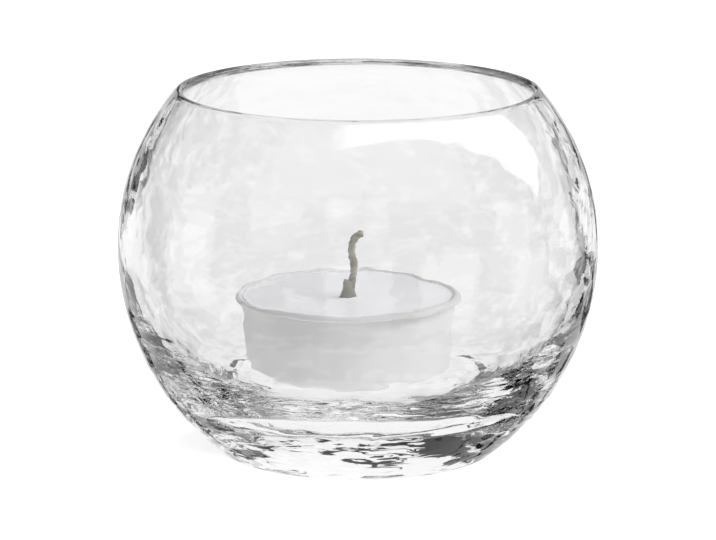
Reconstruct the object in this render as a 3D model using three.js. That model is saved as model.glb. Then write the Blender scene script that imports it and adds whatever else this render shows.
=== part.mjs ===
// Hurricane candle holder: a round, thick-bottomed blown glass bowl with a tealight standing in it.
// Units are millimetres, +Z is up. The origin is the centre of the bowl's foot, on the surface that it
// stands on. Every round piece is revolved about its own axis; the tealight's axis stands a little to
// the left of the bowl's, as it does when it is set down by hand.
import * as THREE from "three";

// Glass bowl
const BOWL_DIAMETER = 83.3;
const BOWL_HEIGHT = 63.7;
const EQUATOR_HEIGHT = 36.2; // where the bowl is widest
const RIM_DIAMETER = 63; // across the outside of the rim
const RIM_THICKNESS = 1.6; // the fire-polished lip
const EQUATOR_WALL = 2.4;
const FLOOR_THICKNESS = 11; // solid glass under the tealight
const FOOT_DIAMETER = 44.6; // across the flat ring that it stands on
const HEEL_RADIUS = 3; // the rounded edge between the foot and the wall
const PUNT_DIAMETER = 34; // the hollow under the foot
const PUNT_DEPTH = 1;

// Tealight cup, pressed from thin aluminium
const CUP_DIAMETER = 37; // the body, just under the curled rim
const CUP_HEIGHT = 16.5;
const CUP_SHEET = 0.25;
const CUP_TAPER = 0.4; // how much the body's radius shrinks from the rim to the base
const CUP_CORNER_RADIUS = 1.4;
const CUP_CURL_RADIUS = 0.5; // the hem at the rim, to the middle of the sheet
const CUP_CURL_TURN = 300; // degrees of hem
const CUP_PANEL_DIAMETER = 29; // the raised middle of the base
const CUP_PANEL_LIFT = 0.5;
const CUP_PANEL_SLOPE = 0.8; // how far out the step down from the panel runs

// Wax
const WAX_GAP = 0.3; // round the wax, and round what is set in it
const WAX_BELOW_RIM = 0.6;
const WAX_CHAMFER = 0.8;
const WAX_EDGE_RISE = 0.3; // the surface climbs a little at the cup
const WAX_EDGE_WIDTH = 1.4;
const WAX_WICK_RISE = 0.9; // and more where it set against the wick
const WAX_WICK_WIDTH = 1.5;
const WAX_BEND_OUT = 1 / 3; // where each climb bends: its share of the width from the top
const WAX_BEND_UP = 1 / 4; // and its share of the rise

// Wick sustainer: a tinned steel disc drawn up into a neck that grips the wick
const SUSTAINER_DIAMETER = 12.5;
const SUSTAINER_SHEET = 0.25;
const SUSTAINER_HEIGHT = 3.2;
const SUSTAINER_FILLET = 0.7;

// Wick: waxed cotton, bent over at its cut end
const WICK_DIAMETER = 1.2;
const WICK_GRIP_GAP = 0.1; // between the wick and the neck that grips it
const WICK_STANDS_OUT = 10.8; // above the wax
const WICK_REACH = 2.6; // how far the cut end hooks over, sideways
const WICK_END_GAP = 0.1; // between the wick's lower end and the cup
const WICK_LOBES = 3;
const WICK_LOBE_DEPTH = 0.12; // as a share of the radius

// Where the tealight stands
const TEALIGHT_OFFSET = -1.7; // left of the bowl's axis
const TEALIGHT_ROOM = 1.2; // flat floor round the cup's foot

// Facets
const BOWL_SIDES = 60;
const CUP_SIDES = 48;
const SUSTAINER_SIDES = 30;
const WICK_SIDES = 12;
const WICK_STEP = 0.45; // along the wick
const LOWER_WALL_STEPS = 12; // below the equator
const UPPER_WALL_STEPS = 9; // above it
const LIP_STEPS = 8;
const HEEL_STEPS = 4;
const PUNT_STEPS = 5;
const CORNER_STEPS = 5;
const CURL_STEPS = 10;
const FILLET_STEPS = 4;

const QUARTER = Math.PI / 2;

// A point of a profile: distance from the axis, and height.
const at = (r, z) => new THREE.Vector2(r, z);

// Points on an arc or an ellipse from one angle to another, both ends included.
function arc(centre, radiusR, radiusZ, from, to, steps) {
  return Array.from({ length: steps + 1 }, (_, i) => {
    const angle = from + ((to - from) * i) / steps;
    return at(centre.x + radiusR * Math.cos(angle), centre.y + radiusZ * Math.sin(angle));
  });
}

// The profile turned about the Z axis. A profile that doesn't start and end on the axis is closed on itself.
function revolve(points, sides) {
  const onAxis = (p) => p.x === 0;
  const closed = onAxis(points[0]) && onAxis(points.at(-1)) ? points : [...points, points[0]];
  return new THREE.LatheGeometry(closed, sides).rotateX(QUARTER);
}

// A pressed sheet's profile: its middle line, thickened to both sides. The side on the right of the line
// comes first, so a line that runs outwards and then up is walked from below and outside.
function thicken(line, sheet) {
  const sides = line.map((point, i) => {
    const before = line[Math.max(i - 1, 0)];
    const after = line[Math.min(i + 1, line.length - 1)];
    const into = point.clone().sub(before);
    const out = after.clone().sub(point);
    if (into.length() === 0) into.copy(out);
    if (out.length() === 0) out.copy(into);
    const right = at(into.y, -into.x).normalize();
    const mitre = right.clone().add(at(out.y, -out.x).normalize()).normalize();
    const reach = sheet / 2 / mitre.dot(right);
    return [
      point.clone().addScaledVector(mitre, reach),
      point.clone().addScaledVector(mitre, -reach),
    ];
  });
  return [...sides.map((pair) => pair[0]), ...sides.map((pair) => pair[1]).reverse()];
}

// How far a wall leans from upright at a point on an ellipse that is widest at the bowl's equator.
const lean = (widest, r, rise) => Math.atan((widest ** 2 - r ** 2) / (rise * r));

// The height of the half ellipse that starts widest at the equator and has radius r at that rise.
const semiHeight = (widest, r, rise) => rise / Math.sqrt(1 - (r / widest) ** 2);

const tealight = {
  floor: FLOOR_THICKNESS,
  footRadius: CUP_DIAMETER / 2 - CUP_TAPER - CUP_CORNER_RADIUS,
};

// The bowl is one revolve: punt, foot, heel, outer wall, lip, inner wall and floor.
function bowlGeometry() {
  const outer = BOWL_DIAMETER / 2;
  const inner = outer - EQUATOR_WALL;
  const foot = FOOT_DIAMETER / 2;
  const punt = PUNT_DIAMETER / 2;
  const rim = RIM_DIAMETER / 2;
  const lip = RIM_THICKNESS / 2;
  const equator = at(0, EQUATOR_HEIGHT);

  const puntRadius = (punt ** 2 + PUNT_DEPTH ** 2) / (2 * PUNT_DEPTH);
  const puntAngle = Math.asin(punt / puntRadius);
  const puntArc = arc(
    at(0, PUNT_DEPTH - puntRadius), puntRadius, puntRadius, QUARTER, QUARTER - puntAngle, PUNT_STEPS,
  );
  puntArc[0].x = 0;

  const heelLean = lean(outer, foot + HEEL_RADIUS / 2, EQUATOR_HEIGHT);
  const heelArc = arc(at(foot, HEEL_RADIUS), HEEL_RADIUS, HEEL_RADIUS, -QUARTER, -heelLean, HEEL_STEPS);
  const wallStart = heelArc.at(-1);

  const lowerHeight = semiHeight(outer, wallStart.x, EQUATOR_HEIGHT - wallStart.y);
  const lowerFrom = -Math.asin((EQUATOR_HEIGHT - wallStart.y) / lowerHeight);
  const lowerWall = arc(equator, outer, lowerHeight, lowerFrom, 0, LOWER_WALL_STEPS);

  const rimLean = lean(outer, rim, BOWL_HEIGHT - EQUATOR_HEIGHT);
  const wallEnd = at(rim, BOWL_HEIGHT - lip * (1 - Math.sin(rimLean)));
  const upperHeight = semiHeight(outer, rim, wallEnd.y - EQUATOR_HEIGHT);
  const upperTo = Math.asin((wallEnd.y - EQUATOR_HEIGHT) / upperHeight);
  const upperWall = arc(equator, outer, upperHeight, 0, upperTo, UPPER_WALL_STEPS);

  const lipCentre = at(wallEnd.x - lip * Math.cos(rimLean), wallEnd.y - lip * Math.sin(rimLean));
  const lipArc = arc(lipCentre, lip, lip, rimLean, rimLean + Math.PI, LIP_STEPS);

  const innerEnd = lipArc.at(-1);
  const innerHeight = semiHeight(inner, innerEnd.x, innerEnd.y - EQUATOR_HEIGHT);
  const innerFrom = Math.asin((innerEnd.y - EQUATOR_HEIGHT) / innerHeight);
  const innerWall = arc(equator, inner, innerHeight, innerFrom, 0, UPPER_WALL_STEPS);

  const flat = tealight.footRadius + Math.abs(TEALIGHT_OFFSET) + TEALIGHT_ROOM;
  const bendHeight = EQUATOR_HEIGHT - FLOOR_THICKNESS;
  const floorBend = arc(
    at(flat, EQUATOR_HEIGHT), inner - flat, bendHeight, 0, -QUARTER, LOWER_WALL_STEPS,
  );
  return revolve(
    [
      ...puntArc,
      ...heelArc,
      ...lowerWall.slice(1),
      ...upperWall.slice(1),
      ...lipArc.slice(1),
      ...innerWall.slice(1),
      ...floorBend.slice(1),
      at(0, FLOOR_THICKNESS),
    ],
    BOWL_SIDES,
  );
}

// The cup's body narrows evenly from just under its rim to its base corner.
function cupBodyRadius(z) {
  const top = CUP_HEIGHT - CUP_CURL_RADIUS;
  return CUP_DIAMETER / 2 - (CUP_TAPER * (top - z)) / top;
}

// The cup's middle line: raised panel, foot ring, corner, tapered body and a hem curled outwards.
function cupGeometry() {
  const half = CUP_SHEET / 2;
  const panel = CUP_PANEL_DIAMETER / 2;
  const foot = tealight.footRadius;
  const corner = arc(
    at(foot, CUP_CORNER_RADIUS),
    cupBodyRadius(CUP_CORNER_RADIUS) - half - foot,
    CUP_CORNER_RADIUS - half,
    -QUARTER,
    0,
    CORNER_STEPS,
  );
  const curl = CUP_CURL_RADIUS;
  const hemCentre = at(CUP_DIAMETER / 2 - half + curl, CUP_HEIGHT - half - curl);
  const hemTurn = THREE.MathUtils.degToRad(CUP_CURL_TURN);
  const hem = arc(hemCentre, curl, curl, Math.PI, Math.PI - hemTurn, CURL_STEPS);
  const line = [
    at(0, CUP_PANEL_LIFT + half),
    at(panel, CUP_PANEL_LIFT + half),
    at(panel + CUP_PANEL_SLOPE, half),
    ...corner,
    ...hem,
  ];
  return revolve(thicken(line, CUP_SHEET), CUP_SIDES);
}

// Heights inside the cup, from the cup's own base.
const panelTop = CUP_PANEL_LIFT + CUP_SHEET;
const waxTop = CUP_HEIGHT - WAX_BELOW_RIM;
const neckTop = panelTop + SUSTAINER_HEIGHT;
const neckOuter = WICK_DIAMETER / 2 + WICK_GRIP_GAP + SUSTAINER_SHEET;

// The wax is a puck with a hole for the wick and a pocket for its sustainer.
function waxGeometry() {
  const inCup = (z) => cupBodyRadius(z) - CUP_SHEET - WAX_GAP;
  const hole = WICK_DIAMETER / 2 + WAX_GAP;
  const neckPocket = neckOuter + WAX_GAP;
  const discPocket = SUSTAINER_DIAMETER / 2 + WAX_GAP;
  const discPocketTop = panelTop + SUSTAINER_SHEET + SUSTAINER_FILLET + WAX_GAP;
  const edgeTop = waxTop + WAX_EDGE_RISE;
  return revolve(
    [
      at(discPocket, panelTop),
      at(inCup(panelTop + WAX_CHAMFER) - WAX_CHAMFER, panelTop),
      at(inCup(panelTop + WAX_CHAMFER), panelTop + WAX_CHAMFER),
      at(inCup(edgeTop), edgeTop),
      at(inCup(edgeTop) - WAX_EDGE_WIDTH * WAX_BEND_OUT, waxTop + WAX_EDGE_RISE * WAX_BEND_UP),
      at(inCup(edgeTop) - WAX_EDGE_WIDTH, waxTop),
      at(hole + WAX_WICK_WIDTH, waxTop),
      at(hole + WAX_WICK_WIDTH * WAX_BEND_OUT, waxTop + WAX_WICK_RISE * WAX_BEND_UP),
      at(hole, waxTop + WAX_WICK_RISE),
      at(hole, neckTop + WAX_GAP),
      at(neckPocket, neckTop + WAX_GAP),
      at(neckPocket, discPocketTop),
      at(discPocket, panelTop + SUSTAINER_SHEET + WAX_GAP),
    ],
    CUP_SIDES,
  );
}

// The sustainer's middle line: up the neck, from its mouth down to the disc's edge.
function sustainerGeometry() {
  const half = SUSTAINER_SHEET / 2;
  const neck = neckOuter - half;
  const fillet = SUSTAINER_FILLET;
  const line = [
    at(neck, SUSTAINER_HEIGHT),
    ...arc(at(neck + fillet, half + fillet), fillet, fillet, Math.PI, Math.PI + QUARTER, FILLET_STEPS),
    at(SUSTAINER_DIAMETER / 2, half),
  ];
  return revolve(thicken(line, SUSTAINER_SHEET), SUSTAINER_SIDES);
}

// The wick's line: straight up through the neck and the wax, then a lazy S with a hook at its cut end.
// Each bend is a share of the height that stands out of the wax, and a share of the reach sideways.
function wickLine() {
  const bends = [
    [0.1, 0.08],
    [0.24, 0.27],
    [0.38, 0.42],
    [0.54, 0.34],
    [0.66, 0.19],
    [0.75, 0.17],
    [0.87, 0.29],
    [0.96, 0.48],
    [0.995, 0.75],
    [1, 1],
  ];
  const start = panelTop + WICK_END_GAP;
  return new THREE.CatmullRomCurve3([
    new THREE.Vector3(0, 0, start),
    new THREE.Vector3(0, 0, (start + waxTop) / 2),
    new THREE.Vector3(0, 0, waxTop),
    ...bends.map(([up, out]) => new THREE.Vector3(WICK_REACH * out, 0, waxTop + WICK_STANDS_OUT * up)),
  ]);
}

// The strands show as lobes of the wick's section.
function wickGeometry() {
  const section = Array.from({ length: WICK_SIDES }, (_, i) => {
    const angle = (2 * Math.PI * i) / WICK_SIDES;
    const lobe = 1 - WICK_LOBE_DEPTH * (1 - Math.cos(WICK_LOBES * angle));
    const radius = (WICK_DIAMETER / 2) * lobe;
    return at(radius * Math.cos(angle), radius * Math.sin(angle));
  });
  const line = wickLine();
  return new THREE.ExtrudeGeometry(new THREE.Shape(section), {
    extrudePath: line,
    steps: Math.ceil(line.getLength() / WICK_STEP),
    bevelEnabled: false,
  });
}

function piece(name, geometry, material) {
  const mesh = new THREE.Mesh(geometry, new THREE.MeshStandardMaterial(material));
  mesh.name = name;
  return mesh;
}

const glass = { color: 0xeef3f2, roughness: 0.02, metalness: 0, transparent: true, opacity: 0.35 };
const aluminium = { color: 0xc9cacc, roughness: 0.32, metalness: 1 };
const wax = { color: 0xe9e9ee, roughness: 0.38, metalness: 0 };
const tinnedSteel = { color: 0xb4b6b8, roughness: 0.3, metalness: 1 };
const cotton = { color: 0x9a968a, roughness: 0.85, metalness: 0 };

const holder = new THREE.Group();
holder.add(piece("glass_bowl", bowlGeometry(), glass));

const candle = new THREE.Group();
candle.position.set(TEALIGHT_OFFSET, 0, tealight.floor);
candle.add(piece("tealight_cup", cupGeometry(), aluminium));
candle.add(piece("wax_puck", waxGeometry(), wax));
const sustainer = piece("wick_sustainer", sustainerGeometry(), tinnedSteel);
sustainer.position.z = panelTop;
candle.add(sustainer);
candle.add(piece("wick", wickGeometry(), cotton));
holder.add(candle);

export default holder;
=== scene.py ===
"""A hurricane candle holder: a hammered, thick-bottomed glass bowl with a tealight standing in it.

Everything is in metres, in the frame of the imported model: +Z is up and the bowl's foot is centred on the
origin. Each sub-assembly is a class that draws its profile, turns it into a mesh and dresses it.
"""
import logging
import math
from dataclasses import dataclass
from enum import Enum
from itertools import pairwise
from typing import Union

import bpy
from mathutils import Matrix, Vector


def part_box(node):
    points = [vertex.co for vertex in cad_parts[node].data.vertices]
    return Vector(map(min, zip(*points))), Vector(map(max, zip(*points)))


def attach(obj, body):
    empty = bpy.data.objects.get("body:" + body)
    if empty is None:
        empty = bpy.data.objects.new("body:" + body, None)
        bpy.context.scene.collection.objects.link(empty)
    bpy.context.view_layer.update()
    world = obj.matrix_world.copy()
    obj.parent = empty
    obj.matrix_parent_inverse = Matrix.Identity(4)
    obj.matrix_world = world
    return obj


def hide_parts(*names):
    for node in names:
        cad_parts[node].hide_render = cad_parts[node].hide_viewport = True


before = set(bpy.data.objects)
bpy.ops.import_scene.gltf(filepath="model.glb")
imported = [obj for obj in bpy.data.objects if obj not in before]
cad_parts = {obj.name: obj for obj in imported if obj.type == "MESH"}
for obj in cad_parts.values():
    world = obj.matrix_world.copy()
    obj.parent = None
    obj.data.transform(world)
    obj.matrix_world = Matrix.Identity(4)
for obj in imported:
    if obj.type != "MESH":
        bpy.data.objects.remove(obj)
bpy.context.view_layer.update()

MM = 0.001
QUARTER = math.pi / 2
TURN = 2 * math.pi
MERGE = 1e-7

Point = tuple[float, float]
Piece = bpy.types.Object
Node = bpy.types.Node
Socket = bpy.types.NodeSocket
Value = Union[float, Socket]

log = logging.getLogger("candle_holder")


class Body(Enum):
    """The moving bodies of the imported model."""

    BOWL = "bowl"
    CUP = "cup"
    CANDLE = "candle"


class Slot(Enum):
    """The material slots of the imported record."""

    CLEAR_GLASS = "clear_glass"
    CUP_ALUMINIUM = "cup_aluminium"
    PARAFFIN_WAX = "paraffin_wax"
    TINNED_STEEL = "tinned_steel"
    WAXED_COTTON = "waxed_cotton"


class Pattern(Enum):
    """The patterns that a relief can have."""

    CELLS = "VORONOI"
    WAVES = "CLOUDS"


# Drawing and shaping


def smoothstep(value: float, low: float, high: float) -> float:
    """Rises smoothly from 0 at low to 1 at high."""
    share = min(max((value - low) / (high - low), 0.0), 1.0)
    return share * share * (3 - 2 * share)


def arc(centre: Point, radii: Point, start: float, end: float, step: float) -> list[Point]:
    """Points on an arc of a circle or an ellipse, both ends included.

    Args:
        centre: the centre, as distance from the axis and height.
        radii: the radius outwards and the radius upwards.
        start: the first angle in radians, from the outward direction.
        end: the last angle.
        step: the largest distance between two points.

    Returns:
        The points in order.
    """
    count = max(2, math.ceil(abs(end - start) * max(radii) / step))
    angles = [start + (end - start) * i / count for i in range(count + 1)]
    return [(centre[0] + radii[0] * math.cos(a), centre[1] + radii[1] * math.sin(a)) for a in angles]


def line(start: Point, end: Point, step: float) -> list[Point]:
    """Points on a straight line, its first one left out, at most a step from each other."""
    count = max(1, math.ceil(math.dist(start, end) / step))
    return [
        (start[0] + (end[0] - start[0]) * i / count, start[1] + (end[1] - start[1]) * i / count)
        for i in range(1, count + 1)
    ]


def draw_profile(name: str, points: list[Point], closed: bool = False) -> Piece:
    """Draws a profile in the XZ plane: one vertex, extruded from point to point.

    Args:
        name: the new piece's name.
        points: distance from the axis and height of each point.
        closed: whether the last point is joined to the first.

    Returns:
        The piece, a line of edges.
    """
    bpy.ops.mesh.primitive_plane_add(size=MM, location=(0, 0, 0))
    piece = bpy.context.object
    piece.name = name
    bpy.ops.object.mode_set(mode="EDIT")
    bpy.ops.mesh.merge(type="CENTER")
    bpy.ops.transform.translate(value=(points[0][0], 0, points[0][1]))
    for before, after in pairwise(points):
        step = (after[0] - before[0], 0, after[1] - before[1])
        bpy.ops.mesh.extrude_region_move(TRANSFORM_OT_translate={"value": step})
    bpy.ops.object.mode_set(mode="OBJECT")
    if closed:
        ends = (0, len(points) - 1)
        for vertex in piece.data.vertices:
            vertex.select = vertex.index in ends
        bpy.ops.object.mode_set(mode="EDIT")
        bpy.ops.mesh.edge_face_add()
        bpy.ops.object.mode_set(mode="OBJECT")
    return piece


def spin(piece: Piece, sides: int) -> None:
    """Turns a drawn profile about the Z axis into a closed skin with its faces outwards.

    Args:
        piece: the profile's piece, which is active.
        sides: how many steps the full turn takes.
    """
    bpy.ops.object.mode_set(mode="EDIT")
    bpy.ops.mesh.select_all(action="SELECT")
    bpy.ops.mesh.spin(steps=sides, angle=TURN, center=(0, 0, 0), axis=(0, 0, 1))
    bpy.ops.mesh.select_all(action="SELECT")
    bpy.ops.mesh.remove_doubles(threshold=MERGE)
    bpy.ops.mesh.normals_make_consistent(inside=False)
    bpy.ops.object.mode_set(mode="OBJECT")
    bpy.ops.object.shade_smooth()


def move(piece: Piece, offset: Vector) -> None:
    """Puts a piece in its place and leaves its object at the origin."""
    piece.data.transform(Matrix.Translation(offset))


def finish_with(piece: Piece, kind: str, **settings: object) -> None:
    """Adds a modifier to a piece and applies it.

    Args:
        piece: the piece.
        kind: the modifier's type.
        settings: the modifier's own settings.
    """
    bpy.ops.object.select_all(action="DESELECT")
    bpy.context.view_layer.objects.active = piece
    piece.select_set(True)
    modifier = piece.modifiers.new(kind.lower(), kind)
    for setting, value in settings.items():
        setattr(modifier, setting, value)
    bpy.ops.object.modifier_apply(modifier=modifier.name)


def weigh(piece: Piece, name: str, weights: list[float]) -> None:
    """Gives each vertex of a drawn profile a weight, which a spin carries round.

    Args:
        piece: the profile's piece.
        name: the new vertex group's name.
        weights: a weight from 0 to 1 for each point.
    """
    group = piece.vertex_groups.new(name=name)
    for index, weight in enumerate(weights):
        group.add([index], weight, "REPLACE")


@dataclass(frozen=True)
class Relief:
    """A pattern that a surface is pushed in and out by.

    size is the width of a cell or wave, and depth the distance from the lowest to the highest point. level is
    what stays in place, from 0, the lows, to 1, the highs. stretch is how much longer than high the pattern
    is, sideways, and octaves how many finer waves are laid over a wave.
    """

    pattern: Pattern
    size: float
    depth: float
    level: float = 1.0
    stretch: float = 1.0
    octaves: int = 1

    def press(self, piece: Piece, group: str = "") -> None:
        """Pushes a piece's surface in and out along its normals.

        Args:
            piece: the piece.
            group: the vertex group that says where, or nothing for all over.
        """
        texture = bpy.data.textures.new(self.pattern.name.lower(), self.pattern.value)
        texture.noise_scale = self.size
        if self.pattern is Pattern.CELLS:
            texture.distance_metric = "DISTANCE_SQUARED"
        else:
            texture.noise_depth = self.octaves
        ruler = bpy.data.objects.new("ruler", None)
        bpy.context.scene.collection.objects.link(ruler)
        ruler.scale = (self.stretch, self.stretch, 1.0)
        bpy.context.view_layer.update()
        settings = {"texture": texture, "strength": self.depth, "mid_level": self.level}
        settings |= {"texture_coords": "OBJECT", "texture_coords_object": ruler, "vertex_group": group}
        finish_with(piece, "DISPLACE", **settings)
        bpy.data.objects.remove(ruler)
        bpy.data.textures.remove(texture)


def dress(piece: Piece, finish: "Finish", body: Body, slot: Slot, *nodes: str) -> None:
    """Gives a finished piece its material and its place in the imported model.

    Args:
        piece: the piece.
        finish: what it is made of.
        body: the body that it rides on.
        slot: the record's slot for its finish, which also names its material.
        nodes: the nodes that it stands for.
    """
    piece.data.materials.clear()
    piece.data.materials.append(finish.material(slot.value))
    for group in list(piece.vertex_groups):
        piece.vertex_groups.remove(group)
    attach(piece, body.value)
    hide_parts(*nodes)
    log.info("%s: %d faces, rides on %s", piece.name, len(piece.data.polygons), body.value)


# Node trees


class Graph:
    """A node tree that is being built."""

    def __init__(self, tree: bpy.types.NodeTree) -> None:
        """Empties the tree."""
        self.tree = tree
        tree.nodes.clear()

    def add(self, kind: str, inputs: dict | None = None, **settings: object) -> Node:
        """Adds a node.

        Args:
            kind: the node's type.
            inputs: a value or another node's socket for each input.
            settings: the node's own settings.

        Returns:
            The node.
        """
        node = self.tree.nodes.new(kind)
        for setting, value in settings.items():
            setattr(node, setting, value)
        for key, value in (inputs or {}).items():
            if isinstance(value, Socket):
                self.tree.links.new(value, node.inputs[key])
            else:
                node.inputs[key].default_value = value
        return node

    def math(self, operation: str, *values: Value) -> Socket:
        """Adds a sum and returns its result."""
        return self.add("ShaderNodeMath", dict(enumerate(values)), operation=operation).outputs[0]

    def rise(self, value: Value, low: float, high: float) -> Socket:
        """Adds a smooth rise from 0 at low to 1 at high and returns its result."""
        inputs = {"Value": value, "From Min": low, "From Max": high, "To Min": 0.0, "To Max": 1.0}
        return self.add("ShaderNodeMapRange", inputs, interpolation_type="SMOOTHSTEP").outputs[0]

    def span(self, value: Value, low: float, high: float) -> Socket:
        """Adds a straight line from low at 0 to high at 1 and returns its result."""
        return self.add("ShaderNodeMapRange", {"Value": value, "To Min": low, "To Max": high}).outputs[0]

    def blend(self, share: Value, low: Value, high: Value) -> Socket:
        """Adds a blend of two numbers and returns its result."""
        return self.add("ShaderNodeMix", {0: share, 2: low, 3: high}, data_type="FLOAT").outputs[0]

    def tint(self, share: Value, low: tuple, high: tuple) -> Socket:
        """Adds a blend of two colours and returns its result."""
        return self.add("ShaderNodeMix", {0: share, 6: low, 7: high}, data_type="RGBA").outputs[2]

    def ramp(self, value: Value, stops: tuple[Point, ...]) -> Socket:
        """Adds a line through stops and returns its result.

        Args:
            value: where on the line.
            stops: a place and a level for each stop, from the line's start to its end.

        Returns:
            The level.
        """
        low, high = stops[0][0], stops[-1][0]
        share = self.add("ShaderNodeMapRange", {"Value": value, "From Min": low, "From Max": high})
        node = self.add("ShaderNodeValToRGB", {0: share.outputs[0]})
        elements = node.color_ramp.elements
        elements.remove(elements[1])
        elements[0].color = grey(stops[0][1])
        for place, level in stops[1:]:
            elements.new((place - low) / (high - low)).color = grey(level)
        return node.outputs[0]

    def clouds(self, size: float, stretch: float = 1.0, detail: float = 3.0) -> Socket:
        """Adds slow clouds, this wide and this much taller than wide, from 0 to 1, and returns them."""
        tree = bpy.data.node_groups.get(MOTTLE) or mottle_group()
        return self.add("ShaderNodeGroup", dict(enumerate((size, stretch, detail))), node_tree=tree).outputs[0]

    def height(self) -> Socket:
        """Adds the height above the part's foot and returns it."""
        place = self.add("ShaderNodeTexCoord").outputs["Object"]
        return self.add("ShaderNodeSeparateXYZ", {0: place}).outputs[2]

    def bump(self, height: Value, distance: float, **under: Socket) -> Socket:
        """Adds a bump, over the Normal of another one if that is given, and returns the bent normal."""
        inputs = {"Height": height, "Distance": distance, "Strength": 1.0, **under}
        return self.add("ShaderNodeBump", inputs).outputs[0]

    def let_past(self, surface: Node, *rays: str) -> Node:
        """Adds a mix that two kinds of rays pass straight through.

        Args:
            surface: what the other rays meet.
            rays: the names of the two kinds.

        Returns:
            The mix.
        """
        path = self.add("ShaderNodeLightPath")
        past = self.math("MAXIMUM", *(path.outputs[ray] for ray in rays))
        clear = self.add("ShaderNodeBsdfTransparent")
        return self.add("ShaderNodeMixShader", {0: past, 1: surface.outputs[0], 2: clear.outputs[0]})


def grey(level: float) -> tuple[float, float, float, float]:
    """A neutral colour."""
    return (level, level, level, 1.0)


MOTTLE = "mottle"
MOTTLE_ROUGHNESS = 0.5
MOTTLE_RISE = (0.25, 0.75)


def mottle_group() -> bpy.types.NodeTree:
    """Builds the shared effect of slow cloudy change over a surface, from 0 to 1.

    Returns:
        A node group with a Size in metres, a Stretch that draws the clouds out upwards, and a Detail.
    """
    tree = bpy.data.node_groups.new(MOTTLE, "ShaderNodeTree")
    for name in ("Size", "Stretch", "Detail"):
        tree.interface.new_socket(name, in_out="INPUT", socket_type="NodeSocketFloat")
    tree.interface.new_socket("Clouds", in_out="OUTPUT", socket_type="NodeSocketFloat")
    graph = Graph(tree)
    given = graph.add("NodeGroupInput").outputs
    place = graph.add("ShaderNodeTexCoord").outputs["Object"]
    upwards = graph.math("DIVIDE", 1.0, given["Stretch"])
    squeeze = graph.add("ShaderNodeCombineXYZ", {0: 1.0, 1: 1.0, 2: upwards}).outputs[0]
    drawn = graph.add("ShaderNodeVectorMath", {0: place, 1: squeeze}, operation="MULTIPLY").outputs[0]
    inputs = {"Vector": drawn, "Scale": graph.math("DIVIDE", 1.0, given["Size"]), "Detail": given["Detail"]}
    noise = graph.add("ShaderNodeTexNoise", {**inputs, "Roughness": MOTTLE_ROUGHNESS})
    graph.add("NodeGroupOutput", {"Clouds": graph.rise(noise.outputs[0], *MOTTLE_RISE)})
    return tree


# Finishes


@dataclass(frozen=True)
class Finish:
    """What a piece is made of."""

    def surface(self, graph: Graph) -> Node:
        """Adds the finish's shader to a material and returns it."""
        raise NotImplementedError

    def material(self, name: str) -> bpy.types.Material:
        """Builds the finish's material.

        Args:
            name: the material's name.

        Returns:
            The material.
        """
        material = bpy.data.materials.new(name)
        material.use_nodes = True
        graph = Graph(material.node_tree)
        graph.add("ShaderNodeOutputMaterial", {"Surface": self.surface(graph).outputs[0]})
        return material


@dataclass(frozen=True)
class ClearGlass(Finish):
    """Clear glass with a fire-polished skin, rippled below the rim and streaked low down, where it was chilled.

    Both are bumps of a few microns at most. A fade is the heights where it starts and where it ends.
    """

    index: float = 1.5
    detail: float = 1.0
    ripple_size: float = 1.4 * MM
    ripple_stretch: float = 0.3
    ripple_height: float = 0.0008 * MM
    streak_size: float = 4.5 * MM
    streak_stretch: float = 0.15
    streak_height: float = 0.003 * MM
    streaks_fade: Point = (14 * MM, 30 * MM)
    rim_fade: Point = (58 * MM, 62 * MM)

    def surface(self, graph: Graph) -> Node:
        """Adds the glass, which shadow and diffuse rays pass straight through.

        Args:
            graph: the material's graph.

        Returns:
            The shader.
        """
        height = graph.height()
        ripple = graph.clouds(self.ripple_size, self.ripple_stretch, self.detail)
        streaks = graph.clouds(self.streak_size, self.streak_stretch, self.detail)
        below_rim = graph.math("SUBTRACT", 1.0, graph.rise(height, *self.rim_fade))
        low = graph.math("SUBTRACT", 1.0, graph.rise(height, *self.streaks_fade))
        rippled = graph.bump(graph.math("MULTIPLY", ripple, below_rim), self.ripple_height)
        inputs = {
            "Base Color": grey(1.0),
            "Roughness": 0.0,
            "IOR": self.index,
            "Transmission Weight": 1.0,
            "Normal": graph.bump(graph.math("MULTIPLY", streaks, low), self.streak_height, Normal=rippled),
        }
        glass = graph.add("ShaderNodeBsdfPrincipled", inputs)
        return graph.let_past(glass, "Is Shadow Ray", "Is Diffuse Ray")


@dataclass(frozen=True)
class Metal(Finish):
    """Sheet metal with faint drawing marks and slow clouds.

    Between two heights, which are above every piece where none are given, its level changes to a second level:
    painted shade, which darkens the cup's curled hem.
    """

    level: float
    roughness: Point
    marks: float
    stretch: float
    mark_height: float
    metallic: float = 1.0
    painted_shade_level: float = 1.0
    painted_shade_above: Point = (1.0, 2.0)
    cloud_size: float = 6 * MM
    cloud_share: float = 0.95

    def surface(self, graph: Graph) -> Node:
        """Adds the metal.

        Args:
            graph: the material's graph.

        Returns:
            The shader.
        """
        marks = graph.clouds(self.marks, self.stretch)
        bare = graph.tint(graph.clouds(self.cloud_size), grey(self.level * self.cloud_share), grey(self.level))
        # Painted shade: between two heights the base colour changes to a darker level, standing in for shade on
        # the cup's curled hem.
        painted_shade = graph.rise(graph.height(), *self.painted_shade_above)
        inputs = {
            "Base Color": graph.tint(painted_shade, bare, grey(self.painted_shade_level)),
            "Metallic": self.metallic,
            "Roughness": graph.span(marks, *self.roughness),
            "Normal": graph.bump(marks, self.mark_height),
        }
        return graph.add("ShaderNodeBsdfPrincipled", inputs)


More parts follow.
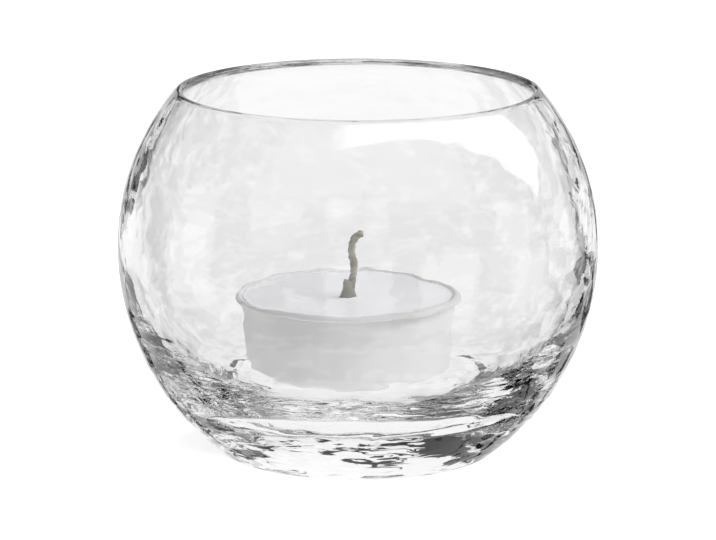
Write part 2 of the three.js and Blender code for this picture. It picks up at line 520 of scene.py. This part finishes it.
@dataclass(frozen=True)
class ParaffinWax(Finish):
    """White paraffin wax with a soft gloss."""

    shade: tuple = (0.50, 0.50, 0.52, 1.0)
    light: tuple = (0.56, 0.56, 0.575, 1.0)
    cloud_size: float = 5 * MM
    grain_size: float = 1.1 * MM
    grain_height: float = 0.01 * MM
    roughness: Point = (0.3, 0.42)
    scatter_share: float = 0.3
    scatter: float = 0.6 * MM

    def surface(self, graph: Graph) -> Node:
        """Adds the wax.

        Args:
            graph: the material's graph.

        Returns:
            The shader.
        """
        clouds = graph.clouds(self.cloud_size)
        inputs = {
            "Base Color": graph.tint(clouds, self.shade, self.light),
            "Roughness": graph.span(clouds, *self.roughness),
            "Subsurface Weight": self.scatter_share,
            "Subsurface Radius": (1.0, 1.0, 1.0),
            "Subsurface Scale": self.scatter,
            "Normal": graph.bump(graph.clouds(self.grain_size), self.grain_height),
        }
        return graph.add("ShaderNodeBsdfPrincipled", inputs)


@dataclass(frozen=True)
class WaxedCotton(Finish):
    """Twisted cotton, matt and greyish, soaked darker at its foot."""

    fibre: tuple = (0.36, 0.35, 0.30, 1.0)
    soaked: tuple = (0.16, 0.15, 0.125, 1.0)
    dries: Point = (27 * MM, 33 * MM)
    fibre_size: float = 0.16 * MM
    fibre_stretch: float = 4.0
    fibre_height: float = 0.04 * MM
    fibre_worn: Point = (0.6, 1.0)
    stain_size: float = 1.3 * MM
    stain_stretch: float = 1.5
    stain_worn: Point = (0.45, 1.0)
    roughness: Point = (0.45, 0.85)
    sheen: float = 0.2

    def surface(self, graph: Graph) -> Node:
        """Adds the cotton.

        Args:
            graph: the material's graph.

        Returns:
            The shader.
        """
        fibres = graph.clouds(self.fibre_size, self.fibre_stretch)
        stain = graph.span(graph.clouds(self.stain_size, self.stain_stretch), *self.stain_worn)
        dry = graph.math("MULTIPLY", graph.rise(graph.height(), *self.dries), stain)
        worn = graph.math("MULTIPLY", dry, graph.span(fibres, *self.fibre_worn))
        inputs = {
            "Base Color": graph.tint(worn, self.soaked, self.fibre),
            "Roughness": graph.span(worn, *self.roughness),
            "Sheen Weight": self.sheen,
            "Normal": graph.bump(fibres, self.fibre_height),
        }
        return graph.add("ShaderNodeBsdfPrincipled", inputs)


@dataclass(frozen=True)
class PaleFloor(Finish):
    """A plain white floor that glass and metal see the studio through."""

    colour: float = 0.8
    glow: float = 0.35

    def surface(self, graph: Graph) -> Node:
        """Adds the floor, which mirrored rays and rays through glass pass straight through.

        Args:
            graph: the material's graph.

        Returns:
            The shader.
        """
        matt = graph.add("ShaderNodeBsdfDiffuse", {"Color": grey(self.colour)})
        glow = graph.add("ShaderNodeEmission", {"Strength": self.glow})
        lit = graph.add("ShaderNodeAddShader", {0: matt.outputs[0], 1: glow.outputs[0]})
        return graph.let_past(lit, "Is Transmission Ray", "Is Glossy Ray")


# The object's pieces


@dataclass
class GlassBowl:
    """The blown bowl: punt, foot, heel, outer wall, lip, inner wall and thick floor.

    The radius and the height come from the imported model. The fades are where the reliefs set in or end, as
    distances below the rim, above the foot and beyond the floor's flat.
    """

    radius: float
    height: float
    equator_height: float = 36.2 * MM
    rim_radius: float = 31.5 * MM
    rim_thickness: float = 1.6 * MM
    equator_wall: float = 2.4 * MM
    floor_thickness: float = 11 * MM
    floor_flat: float = 19.6 * MM
    foot_radius: float = 22.3 * MM
    heel_radius: float = 3 * MM
    punt_radius: float = 17 * MM
    punt_depth: float = 1 * MM
    sides: int = 340
    wall_step: float = 0.8 * MM
    punt_step: float = 1.6 * MM
    heel_step: float = 0.4 * MM
    low_step: float = 0.5 * MM
    lip_step: float = 0.8 / 3 * MM
    inner_step: float = 1 * MM
    bend_step: float = 0.6 * MM
    low_end: float = 17 * MM
    rim_fade: Point = (5.5 * MM, 1.2 * MM)
    foot_fade: Point = (0.1 * MM, 1.5 * MM)
    low_fade: Point = (14 * MM, 30 * MM)
    flat_fade: Point = (-1 * MM, 2 * MM)
    ring_width: float = 3 * MM
    hammered: Relief = Relief(Pattern.CELLS, 2.4 * MM, 0.06 * MM, stretch=2.0)
    dents: Relief = Relief(Pattern.WAVES, 5 * MM, 0.01 * MM, stretch=2.5)
    chill: Relief = Relief(Pattern.WAVES, 1.2 * MM, 0.13 * MM, stretch=6.0)
    inner_waves: Relief = Relief(Pattern.WAVES, 3 * MM, 0.04 * MM, stretch=4.0)
    inner_chill: Relief = Relief(Pattern.WAVES, 1.5 * MM, 0.09 * MM, stretch=4.0)
    underside: Relief = Relief(Pattern.WAVES, 2.0 * MM, 0.12 * MM)
    finish: ClearGlass = ClearGlass()

    def lean(self, radius: float, rise: float) -> float:
        """How far the outer wall leans from upright where it has this radius, this far from the equator."""
        return math.atan((self.radius**2 - radius**2) / (rise * radius))

    @staticmethod
    def half_height(widest: float, radius: float, rise: float) -> float:
        """The half height of the ellipse that is widest at the equator and has this radius at this rise."""
        return rise / math.sqrt(1 - (radius / widest) ** 2)

    def outer_profile(self) -> tuple[list[Point], float]:
        """The profile from the middle of the punt up to the rim.

        Returns:
            The points, and how far the wall leans where the lip starts.
        """
        step = self.wall_step
        ball = (self.punt_radius**2 + self.punt_depth**2) / (2 * self.punt_depth)
        reach = math.asin(self.punt_radius / ball)
        punt = arc((0, self.punt_depth - ball), (ball, ball), QUARTER, QUARTER - reach, self.punt_step)
        punt[0] = (0.0, self.punt_depth)
        ring = line(punt[-1], (self.foot_radius, 0), step)
        heel_lean = self.lean(self.foot_radius + self.heel_radius / 2, self.equator_height)
        heel_centre = (self.foot_radius, self.heel_radius)
        heel_radii = (self.heel_radius, self.heel_radius)
        heel = arc(heel_centre, heel_radii, -QUARTER, -heel_lean, self.heel_step)
        start = heel[-1]
        drop = self.equator_height - start[1]
        low = self.half_height(self.radius, start[0], drop)
        equator = (0, self.equator_height)
        low_radii = (self.radius, low)
        change = -math.asin((self.equator_height - self.low_end) / low)
        lower = arc(equator, low_radii, -math.asin(drop / low), change, self.low_step)
        middle = arc(equator, low_radii, change, 0, step)
        rim_lean = self.lean(self.rim_radius, self.height - self.equator_height)
        lip = self.rim_thickness / 2
        top = self.height - lip * (1 - math.sin(rim_lean)) - self.equator_height
        high = self.half_height(self.radius, self.rim_radius, top)
        upper = arc(equator, (self.radius, high), 0, math.asin(top / high), step)
        return [*punt, *ring, *heel[1:], *lower[1:], *middle[1:], *upper[1:]], rim_lean

    def inner_profile(self, end: Point, rim_lean: float) -> list[Point]:
        """The profile from the rim over the lip and down to the middle of the floor.

        Args:
            end: the last point of the outer wall.
            rim_lean: how far the wall leans there.

        Returns:
            The points in order.
        """
        lip = self.rim_thickness / 2
        lip_centre = (end[0] - lip * math.cos(rim_lean), end[1] - lip * math.sin(rim_lean))
        rolled = arc(lip_centre, (lip, lip), rim_lean, rim_lean + math.pi, self.lip_step)
        inner = self.radius - self.equator_wall
        rise = rolled[-1][1] - self.equator_height
        high = self.half_height(inner, rolled[-1][0], rise)
        equator = (0, self.equator_height)
        upper = arc(equator, (inner, high), math.asin(rise / high), 0, self.inner_step)
        depth = self.equator_height - self.floor_thickness
        bend_radii = (inner - self.floor_flat, depth)
        bend = arc((self.floor_flat, self.equator_height), bend_radii, 0, -QUARTER, self.bend_step)
        flat = line(bend[-1], (0, self.floor_thickness), self.inner_step)
        return [*rolled[1:], *upper[1:], *bend[1:], *flat]

    def weights(self, outer: list[Point], inner: list[Point]) -> dict[str, list[float]]:
        """How strongly each point of the profile is pressed by each relief.

        Args:
            outer: the points of the outer skin.
            inner: the points of the inner skin.

        Returns:
            The weights by the relief's name.
        """
        rim = [self.height - below for below in self.rim_fade]
        flat = [self.floor_flat + beyond for beyond in self.flat_fade]
        ring = (self.foot_radius - self.ring_width, self.foot_radius)
        foot = [smoothstep(z, *self.foot_fade) for _, z in outer]
        bend = [smoothstep(r, *flat) for r, _ in inner]
        no_outer = [0.0] * len(outer)
        no_inner = [0.0] * len(inner)
        return {
            "outside": [w * (1 - smoothstep(z, *rim)) for w, (_, z) in zip(foot, outer)] + no_inner,
            "lower": [w * (1 - smoothstep(z, *self.low_fade)) for w, (_, z) in zip(foot, outer)] + no_inner,
            "foot": [(1 - smoothstep(r, *ring)) * (z < self.heel_radius) for r, z in outer] + no_inner,
            "inside": no_outer + [w * (1 - smoothstep(z, *rim)) for w, (_, z) in zip(bend, inner)],
            "bend": no_outer + [w * (1 - smoothstep(z, *self.low_fade)) for w, (_, z) in zip(bend, inner)],
        }

    def build(self) -> None:
        """Draws, spins, hammers and dresses the bowl."""
        outer, rim_lean = self.outer_profile()
        inner = self.inner_profile(outer[-1], rim_lean)
        piece = draw_profile("hammered_bowl", [*outer, *inner])
        for name, weights in self.weights(outer, inner).items():
            weigh(piece, name, weights)
        spin(piece, self.sides)
        self.hammered.press(piece, "outside")
        self.dents.press(piece, "outside")
        self.chill.press(piece, "lower")
        self.underside.press(piece, "foot")
        self.inner_waves.press(piece, "inside")
        self.inner_chill.press(piece, "bend")
        dress(piece, self.finish, Body.BOWL, Slot.CLEAR_GLASS, "glass_bowl")


@dataclass
class TealightCup:
    """The pressed aluminium cup: raised panel, foot ring, corner, tapered body and curled hem.

    Its place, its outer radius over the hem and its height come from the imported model.
    """

    place: Vector
    hem_radius: float
    height: float
    sheet: float = 0.25 * MM
    taper: float = 0.4 * MM
    corner_radius: float = 1.4 * MM
    curl_radius: float = 0.5 * MM
    curl_turn: float = math.radians(300)
    panel_radius: float = 14.5 * MM
    panel_lift: float = 0.5 * MM
    panel_slope: float = 0.8 * MM
    sides: int = 240
    bend_step: float = 0.2 * MM
    hem_step: float = 0.12 * MM
    panel_step: float = 1.5 * MM
    slope_step: float = 0.25 * MM
    side_step: float = 0.8 * MM
    dents_start: Point = (1.5 * MM, 4 * MM)
    dents_end: Point = (3.5 * MM, 1.5 * MM)
    dents: Relief = Relief(Pattern.WAVES, 6 * MM, 0.05 * MM, level=0.5)
    finish: Metal = Metal(
        level=0.95,
        roughness=(0.62, 0.75),
        marks=0.5 * MM,
        stretch=14.0,
        mark_height=0.006 * MM,
        metallic=0.68,
        # Painted shade on the curled hem: from about 26 mm up, the base colour drops to 0.84.
        painted_shade_level=0.84,
        painted_shade_above=(26 * MM, 26.8 * MM),
    )

    def body_radius(self, z: float) -> float:
        """The outer radius of the body at a height above the cup's base."""
        top = self.height - self.curl_radius
        return self.hem_radius - 2 * self.curl_radius - self.taper * (top - z) / top

    def middle_line(self) -> list[Point]:
        """The middle of the sheet, from the axis out, up the body and round the hem.

        Returns:
            The points in order.
        """
        half = self.sheet / 2
        foot = self.body_radius(0) - self.corner_radius
        corner = self.corner_radius
        curl = self.curl_radius
        bend_radii = (self.body_radius(corner) - half - foot, corner - half)
        bend = arc((foot, corner), bend_radii, -QUARTER, 0, self.bend_step)
        hem_centre = (self.hem_radius - curl - half, self.height - half - curl)
        hem = arc(hem_centre, (curl, curl), math.pi, math.pi - self.curl_turn, self.hem_step)
        panel = (self.panel_radius, self.panel_lift + half)
        step_end = (self.panel_radius + self.panel_slope, half)
        centre = (0.0, self.panel_lift + half)
        return [
            centre,
            *line(centre, panel, self.panel_step),
            *line(panel, step_end, self.slope_step),
            *bend,
            *line(bend[-1], hem[0], self.side_step),
            *hem[1:],
        ]

    def build(self) -> None:
        """Draws, spins, dents, thickens and dresses the cup."""
        line_points = self.middle_line()
        piece = draw_profile("pressed_cup", line_points)
        end = [self.height - below for below in self.dents_end]
        body = [smoothstep(z, *self.dents_start) * (1 - smoothstep(z, *end)) for _, z in line_points]
        weigh(piece, "body", body)
        spin(piece, self.sides)
        self.dents.press(piece, "body")
        finish_with(piece, "SOLIDIFY", thickness=self.sheet, offset=0.0)
        move(piece, self.place)
        dress(piece, self.finish, Body.CUP, Slot.CUP_ALUMINIUM, "tealight_cup")


@dataclass
class WaxPuck:
    """The wax: a puck poured to just under the cup's hem, that climbs a little at the cup and the wick."""

    cup: TealightCup
    below_hem: float = 0.6 * MM
    clearance: float = 0.06 * MM
    chamfer: float = 0.8 * MM
    edge_rise: float = 0.3 * MM
    edge_width: float = 1.4 * MM
    wick_rise: float = 0.8 * MM
    wick_width: float = 1.6 * MM
    hole_radius: float = 0.9 * MM
    neck_pocket: float = 1.25 * MM
    neck_height: float = 3.5 * MM
    disc_pocket: float = 6.55 * MM
    neck_slope: float = 1.25 * MM
    disc_height: float = 0.55 * MM
    sides: int = 192
    curve_step: float = 0.2 * MM
    base_step: float = 2 * MM
    side_step: float = 1 * MM
    top_step: float = 0.7 * MM
    waves_from_wick: float = 2 * MM
    waves_from_edge: float = 1 * MM
    surface_depth: float = 0.2 * MM
    smooth_angle: float = math.radians(40)
    waves: Relief = Relief(Pattern.WAVES, 4.5 * MM, 0.14 * MM, level=0.5, octaves=2)
    finish: ParaffinWax = ParaffinWax()

    @property
    def base(self) -> float:
        """The wax's underside, above the cup's base."""
        return self.cup.panel_lift + self.cup.sheet

    @property
    def top(self) -> float:
        """The wax's surface, above the cup's base."""
        return self.cup.height - self.below_hem

    def profile(self) -> list[Point]:
        """The closed profile, from the pocket's edge out, up the side and back over the top.

        Returns:
            The points in order.
        """
        base, top = self.base, self.top

        def edge(z: float) -> float:
            """How far out the wax reaches at a height."""
            return self.cup.body_radius(z) - self.cup.sheet - self.clearance

        rim = (edge(top + self.edge_rise), top + self.edge_rise)
        side = (edge(base + self.chamfer), base + self.chamfer)
        rise_radii = (self.edge_width, self.edge_rise)
        climb = arc((rim[0] - self.edge_width, rim[1]), rise_radii, 0, -QUARTER, self.curve_step)
        cone_centre = (self.hole_radius + self.wick_width, top + self.wick_rise)
        cone_radii = (self.wick_width, self.wick_rise)
        cone = arc(cone_centre, cone_radii, -QUARTER, -math.pi, self.curve_step)
        pocket_top = base + self.neck_height
        return [
            (self.disc_pocket, base),
            *line((self.disc_pocket, base), (side[0] - self.chamfer, base), self.base_step),
            side,
            *line(side, rim, self.side_step),
            *climb[1:],
            *line(climb[-1], cone[0], self.top_step),
            *cone[1:],
            *line(cone[-1], (self.hole_radius, pocket_top), self.side_step),
            (self.neck_pocket, pocket_top),
            (self.neck_pocket, base + self.neck_slope),
            (self.disc_pocket, base + self.disc_height),
        ]

    def build(self) -> None:
        """Draws, spins, sets and dresses the wax."""
        points = self.profile()
        piece = draw_profile("poured_wax", points, closed=True)
        middle = (self.hole_radius, self.hole_radius + self.waves_from_wick)
        edge = self.cup.body_radius(self.top) - self.edge_width
        rim = (edge, edge + self.waves_from_edge)
        under = self.top - self.surface_depth
        surface = [smoothstep(r, *middle) * (1 - smoothstep(r, *rim)) * (z > under) for r, z in points]
        weigh(piece, "surface", surface)
        spin(piece, self.sides)
        self.waves.press(piece, "surface")
        move(piece, self.cup.place)
        bpy.ops.object.shade_smooth_by_angle(angle=self.smooth_angle)
        dress(piece, self.finish, Body.CANDLE, Slot.PARAFFIN_WAX, "wax_puck")


@dataclass
class WickSustainer:
    """The tinned disc whose drawn-up neck grips the wick, set in the underside of the wax."""

    cup: TealightCup
    radius: float = 6.25 * MM
    sheet: float = 0.25 * MM
    height: float = 3.2 * MM
    fillet: float = 0.7 * MM
    neck_radius: float = 0.83 * MM
    crimp: float = 0.07 * MM
    crimps: int = 4
    crimp_place: float = 0.62
    crimp_reach: float = 0.9 * MM
    crimp_margin: float = 0.1 * MM
    sides: int = 96
    bend_step: float = 0.12 * MM
    neck_step: float = 0.3 * MM
    disc_step: float = 0.4 * MM
    finish: Metal = Metal(0.72, (0.28, 0.42), 0.4 * MM, 1.0, 0.005 * MM)

    def middle_line(self) -> list[Point]:
        """The middle of the sheet, from the neck's mouth down and out to a beaded edge.

        Returns:
            The points in order.
        """
        half = self.sheet / 2
        fillet = self.fillet
        mouth = (self.neck_radius, self.height)
        centre = (self.neck_radius + fillet, half + fillet)
        bend = arc(centre, (fillet, fillet), math.pi, math.pi + QUARTER, self.bend_step)
        down = line(mouth, bend[0], self.neck_step)
        return [mouth, *down, *bend[1:], *line(bend[-1], (self.radius, half), self.disc_step)]

    def build(self) -> None:
        """Draws, spins, crimps, thickens and dresses the sustainer."""
        piece = draw_profile("crimped_sustainer", self.middle_line())
        spin(piece, self.sides)
        middle = self.height * self.crimp_place
        for vertex in piece.data.vertices:
            out = math.hypot(vertex.co.x, vertex.co.y)
            near = max(0.0, 1 - abs(vertex.co.z - middle) / self.crimp_reach)
            pinch = near * (out < self.neck_radius + self.crimp_margin)
            angle = math.atan2(vertex.co.y, vertex.co.x)
            inwards = 1 - self.crimp * pinch * (0.5 + 0.5 * math.cos(self.crimps * angle)) / out
            vertex.co.x *= inwards
            vertex.co.y *= inwards
        finish_with(piece, "SOLIDIFY", thickness=self.sheet, offset=0.0)
        move(piece, self.cup.place + Vector((0, 0, self.cup.panel_lift + self.cup.sheet)))
        dress(piece, self.finish, Body.CANDLE, Slot.TINNED_STEEL, "wick_sustainer")


@dataclass
class Wick:
    """The wick: three waxed cotton strands twisted together, kinked, and hooked over at the cut end.

    Each bend is a share of the height that stands out of the wax, a share of the reach sideways, and how
    far it strays to the back, in metres.
    """

    wax: WaxPuck
    stands_out: float = 10.8 * MM
    reach: float = 2.6 * MM
    strands: int = 3
    strand_radius: float = 0.36 * MM
    strand_offset: float = 0.30 * MM
    lay: float = 3.4 * MM
    strand_resolution: int = 2
    cuts: int = 8
    start_lift: float = 0.15 * MM
    foot_radius: float = 1.7 * MM
    foot_height: float = 2.6 * MM
    foot_sink: float = 0.1 * MM
    foot_aside: float = -0.1 * MM
    foot_sides: int = 24
    voxel: float = 0.075 * MM
    fuzz: Relief = Relief(Pattern.WAVES, 0.35 * MM, 0.12 * MM, level=0.5, octaves=2)
    bends: tuple = (
        (0.1, 0.1, 0.0), (0.24, 0.27, 0.1 * MM), (0.38, 0.42, 0.0), (0.54, 0.38, -0.15 * MM),
        (0.66, 0.27, 0.0), (0.76, 0.29, 0.1 * MM), (0.87, 0.37, 0.0), (0.94, 0.5, 0.0), (0.98, 0.72, 0.0),
        (0.985, 0.93, 0.0),
    )
    finish: WaxedCotton = WaxedCotton()

    def centre_line(self) -> list[Vector]:
        """A smooth line up through the wax and on through the bends, above the cup's base.

        Returns:
            The points in order.
        """
        low = self.wax.base + self.start_lift
        top = self.wax.top
        upright = [Vector((0, 0, z)) for z in (low, (low + top) / 2, top)]
        bent = [Vector((self.reach * out, back, top + self.stands_out * up)) for up, out, back in self.bends]
        stations = [*upright, *bent]
        padded = [2 * stations[0] - stations[1], *stations, 2 * stations[-1] - stations[-2]]
        points = []
        for i in range(1, len(padded) - 2):
            before, start, end, after = padded[i - 1 : i + 3]
            for t in (k / self.cuts for k in range(self.cuts)):
                place = 2 * start + (end - before) * t
                place += (2 * before - 5 * start + 4 * end - after) * t**2
                place += (3 * start - before - 3 * end + after) * t**3
                points.append(0.5 * place)
        return [*points, stations[-1]]

    def strand(self, centre: list[Vector], phase: float) -> Piece:
        """Lays one strand round the wick's line.

        Args:
            centre: the wick's line.
            phase: where round the line the strand starts, in radians.

        Returns:
            The strand, a closed tube.
        """
        bpy.ops.curve.primitive_nurbs_path_add(location=(0, 0, 0))
        piece = bpy.context.object
        curve = piece.data
        curve.splines.clear()
        spline = curve.splines.new("POLY")
        spline.points.add(len(centre) - 1)
        length = 0.0
        for i, point in enumerate(centre):
            ahead = centre[min(i + 1, len(centre) - 1)] - centre[max(i - 1, 0)]
            across = Vector((0, 1, 0))
            side = across.cross(ahead).normalized()
            angle = phase + TURN * length / self.lay
            offset = self.strand_offset * (side * math.cos(angle) + across * math.sin(angle))
            spline.points[i].co = (*(point + offset), 1.0)
            if i + 1 < len(centre):
                length += (centre[i + 1] - point).length
        curve.bevel_depth = self.strand_radius
        curve.bevel_resolution = self.strand_resolution
        curve.use_fill_caps = True
        bpy.ops.object.convert(target="MESH")
        return bpy.context.object

    def foot(self) -> Piece:
        """The splayed, wax-soaked foot of the wick, a cone on the wax.

        Returns:
            The cone.
        """
        middle = self.wax.top - self.foot_sink + self.foot_height / 2
        bpy.ops.mesh.primitive_cone_add(
            vertices=self.foot_sides,
            radius1=self.foot_radius,
            radius2=self.strand_offset + self.strand_radius,
            depth=self.foot_height,
            location=(self.foot_aside, 0, middle),
        )
        bpy.ops.object.transform_apply(location=True)
        return bpy.context.object

    def build(self) -> None:
        """Lays the strands, fuses them into one skin, roughens and dresses it."""
        centre = self.centre_line()
        parts = [self.strand(centre, TURN * i / self.strands) for i in range(self.strands)]
        parts.append(self.foot())
        bpy.ops.object.select_all(action="DESELECT")
        for part in parts:
            part.select_set(True)
        bpy.context.view_layer.objects.active = parts[0]
        bpy.ops.object.join()
        piece = bpy.context.object
        piece.name = "twisted_wick"
        finish_with(piece, "REMESH", mode="VOXEL", voxel_size=self.voxel, use_smooth_shade=True)
        self.fuzz.press(piece)
        move(piece, self.wax.cup.place)
        dress(piece, self.finish, Body.CANDLE, Slot.WAXED_COTTON, "wick")


# The studio


@dataclass
class Studio:
    """The floor, the key lamp and the world that the glass and the metal see.

    Directions are in degrees, round from +Y towards +X, and up from the horizon. The walls, low and high, are
    lines of direction and brightness. Clouds break them into light and dark patches, and white windows are
    let in, each with its direction round and up and half its width and height. The one behind the camera is
    there twice, because the direction jumps from 180 to -180 there. Straight down all is white, as the floor
    is. The softbox is bounded by straight edges, each with the way into its lit side and where along that way
    it starts and is full. Diffuse rays see one even level.
    """

    low_walls: tuple[Point, ...] = (
        (-180, 0.04), (-150, 0.06), (-126, 0.1), (-110, 0.08), (-82, 0.08), (-70, 0.12), (-58, 0.06),
        (-50, 0.12), (-42, 0.14), (-38, 0.06), (-34, 0.3), (-28, 0.5), (-20, 0.75), (-13, 1.1), (10, 1.1),
        (14, 0.8), (28, 0.72), (36, 0.5), (44, 0.5), (56, 0.55), (68, 0.55), (80, 0.3), (92, 0.2), (108, 0.12),
        (125, 0.06), (180, 0.04),
    )
    high_walls: tuple[Point, ...] = (
        (-180, 0.02), (-84, 0.03), (-66, 0.05), (-48, 0.06), (-36, 0.05), (-24, 0.1), (-12, 0.24), (0, 0.42),
        (10, 0.6), (24, 0.72), (34, 0.5), (44, 0.2), (60, 0.15), (75, 0.12), (90, 0.12), (110, 0.05),
        (180, 0.02),
    )
    windows: tuple = (
        (-44.0, -25.0, 14.0, 13.0), (-44.0, -12.0, 9.0, 8.0), (135.0, -14.0, 13.0, 14.0),
        (-90.0, -6.0, 11.0, 12.0), (88.0, -14.0, 10.0, 10.0), (180.0, -14.0, 14.0, 13.0),
        (-180.0, -14.0, 14.0, 13.0),
    )
    window_edge: float = 4.0
    window_level: float = 1.1
    haze: Point = (-14.0, -8.0)
    haze_level: float = 0.93
    horizon: Point = (4.0, 18.0)
    ceiling: Point = (45.0, 75.0)
    ceiling_level: float = 0.04
    nadir: Point = (-56.0, -44.0)
    patch_scale: float = 5.0
    patch_squeeze: tuple = (1.0, 1.0, 2.5)
    patch_start: tuple = (0.0, 0.0, 3.0)
    patch_detail: float = 2.0
    patch_spread: Point = (0.36, 0.64)
    patch_edge: float = 0.08
    patch_contrast: float = 0.98
    diffuse_level: float = 0.75
    softbox_edges: tuple = (
        ((0.485, -0.875, 0.0), 0.0, 0.04),
        ((-0.281, 0.803, 0.528), 0.0, 0.03),
        ((1.0, 0.0, 0.0), -0.2, 0.0),
        ((0.084, -0.546, -0.833), -0.68, -0.63),
        ((-0.04, -0.577, 0.816), 0.0, 0.03),
    )
    softbox_glow: float = 4.0
    softbox_through_glass: float = 1.0
    bounces: int = 48
    clear_bounces: int = 16
    floor_drop: float = 0.3 * MM
    floor_size: float = 6.0
    key_place: tuple = (0.42, -0.16, 0.66)
    key_size: Point = (0.5, 0.4)
    key_power: float = 5.4
    key_aim: tuple = (0, 0, 0.03)
    floor_finish: PaleFloor = PaleFloor()

    def lay_floor(self) -> None:
        """Lays the floor just under the foot."""
        bpy.ops.mesh.primitive_plane_add(size=self.floor_size, location=(0, 0, -self.floor_drop))
        floor = bpy.context.object
        floor.name = "studio_floor"
        floor.data.materials.append(self.floor_finish.material("pale_floor"))

    def hang_key(self) -> None:
        """Hangs the key lamp, which no mirror image shows and no ray through the glass, over the bowl."""
        light = bpy.data.lights.new("key", "AREA")
        light.shape = "RECTANGLE"
        light.size, light.size_y = self.key_size
        light.energy = self.key_power
        lamp = bpy.data.objects.new("key", light)
        bpy.context.scene.collection.objects.link(lamp)
        lamp.location = self.key_place
        lamp.visible_transmission = False
        lamp.visible_glossy = False
        towards = Vector(self.key_aim) - Vector(self.key_place)
        lamp.rotation_euler = towards.to_track_quat("-Z", "Y").to_euler()

    def walls(self, graph: Graph, around: Value, height: Value) -> Socket:
        """Adds the walls, the white below them, the ceiling and the windows.

        Args:
            graph: the world's graph.
            around: the direction round.
            height: the direction up.

        Returns:
            How bright they are.
        """
        low = graph.ramp(around, self.low_walls)
        below = graph.math("SUBTRACT", 1.0, graph.rise(height, *self.nadir))
        low = graph.math("MAXIMUM", low, below)
        high = graph.ramp(around, self.high_walls)
        high = graph.blend(graph.rise(height, *self.ceiling), high, self.ceiling_level)
        walls = graph.blend(graph.rise(height, *self.horizon), low, high)
        for place, level, half_width, half_height in self.windows:
            aside = graph.math("ABSOLUTE", graph.math("SUBTRACT", around, place))
            above = graph.math("ABSOLUTE", graph.math("SUBTRACT", height, level))
            out = graph.math(
                "MAXIMUM",
                graph.rise(aside, half_width, half_width + self.window_edge),
                graph.rise(above, half_height, half_height + self.window_edge),
            )
            walls = graph.blend(out, self.window_level, walls)
        return walls

    def build_world(self) -> None:
        """Builds the world: what the glass and the metal see in each direction."""
        world = bpy.data.worlds.new("studio")
        bpy.context.scene.world = world
        world.use_nodes = True
        graph = Graph(world.node_tree)
        direction = graph.add("ShaderNodeTexCoord").outputs["Generated"]
        x, y, z = graph.add("ShaderNodeSeparateXYZ", {0: direction}).outputs
        degrees = math.degrees(1)
        height = graph.math("MULTIPLY", graph.math("ARCSINE", z), degrees)
        around = graph.math("MULTIPLY", graph.math("ARCTAN2", x, y), degrees)
        walls = self.walls(graph, around, height)

        placed = {0: direction, 1: self.patch_squeeze, 2: self.patch_start}
        start = graph.add("ShaderNodeVectorMath", placed, operation="MULTIPLY_ADD").outputs[0]
        inputs = {"Vector": start, "Scale": self.patch_scale, "Detail": self.patch_detail}
        noise = graph.add("ShaderNodeTexNoise", inputs).outputs[0]
        over = graph.math("SUBTRACT", walls, graph.rise(noise, *self.patch_spread))
        patches = graph.rise(over, -self.patch_edge, self.patch_edge)
        haze = graph.span(graph.rise(height, *self.haze), self.haze_level, 1.0)
        seen = graph.math("MULTIPLY", graph.blend(self.patch_contrast, walls, patches), haze)

        softbox = 1.0
        for edge, start, end in self.softbox_edges:
            inside = graph.add("ShaderNodeVectorMath", {0: direction, 1: edge}, operation="DOT_PRODUCT")
            softbox = graph.math("MULTIPLY", softbox, graph.rise(inside.outputs[1], start, end))
        path = graph.add("ShaderNodeLightPath").outputs
        glow = graph.blend(path["Is Transmission Ray"], self.softbox_glow, self.softbox_through_glass)
        seen = graph.blend(softbox, seen, glow)
        lit = graph.blend(path["Is Diffuse Ray"], seen, self.diffuse_level)
        strength = graph.blend(path["Is Camera Ray"], lit, 1.0)
        light = graph.add("ShaderNodeBackground", {"Color": grey(1.0), "Strength": strength})
        graph.add("ShaderNodeOutputWorld", {"Surface": light.outputs[0]})

    def build(self) -> None:
        """Builds the floor, the world and the key lamp."""
        self.lay_floor()
        self.build_world()
        self.hang_key()
        scene = bpy.context.scene
        scene.view_settings.view_transform = "Standard"
        scene.cycles.max_bounces = self.bounces
        scene.cycles.transmission_bounces = self.bounces
        scene.cycles.glossy_bounces = self.bounces
        scene.cycles.transparent_max_bounces = self.clear_bounces
        log.info("studio: floor, world and key lamp")


@dataclass
class PhotoCamera:
    """The camera at the photograph's viewing angle. Focal length and width are in pixels of the picture."""

    distance: float = 0.8
    elevation: float = math.radians(12.15)
    focal_pixels: float = 4613.0
    image_width: float = 716.0
    sensor: float = 36.0
    aim_height: float = 31.7 * MM

    def build(self) -> None:
        """Places the camera and makes it the scene's."""
        data = bpy.data.cameras.new("photo_camera")
        data.sensor_width = self.sensor
        data.lens = self.focal_pixels / self.image_width * self.sensor
        camera = bpy.data.objects.new("photo_camera", data)
        bpy.context.scene.collection.objects.link(camera)
        back = self.distance * math.cos(self.elevation)
        camera.location = (0, -back, self.aim_height + self.distance * math.sin(self.elevation))
        camera.rotation_euler = (QUARTER - self.elevation, 0, 0)
        bpy.context.scene.camera = camera


def box_size(node: str) -> tuple[Vector, Vector]:
    """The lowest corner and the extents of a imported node."""
    low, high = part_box(node)
    return low, high - low


def main() -> None:
    """Builds the camera, the studio and every piece."""
    logging.basicConfig(level=logging.INFO, format="%(name)s: %(message)s")
    PhotoCamera().build()
    Studio().build()
    _, bowl_size = box_size("glass_bowl")
    GlassBowl(radius=bowl_size.x / 2, height=bowl_size.z).build()
    cup_low, cup_size = box_size("tealight_cup")
    place = Vector((cup_low.x + cup_size.x / 2, 0, cup_low.z))
    cup = TealightCup(place=place, hem_radius=cup_size.x / 2, height=cup_size.z)
    cup.build()
    wax = WaxPuck(cup)
    wax.build()
    WickSustainer(cup).build()
    Wick(wax).build()


if __name__ == "__main__":
    main()
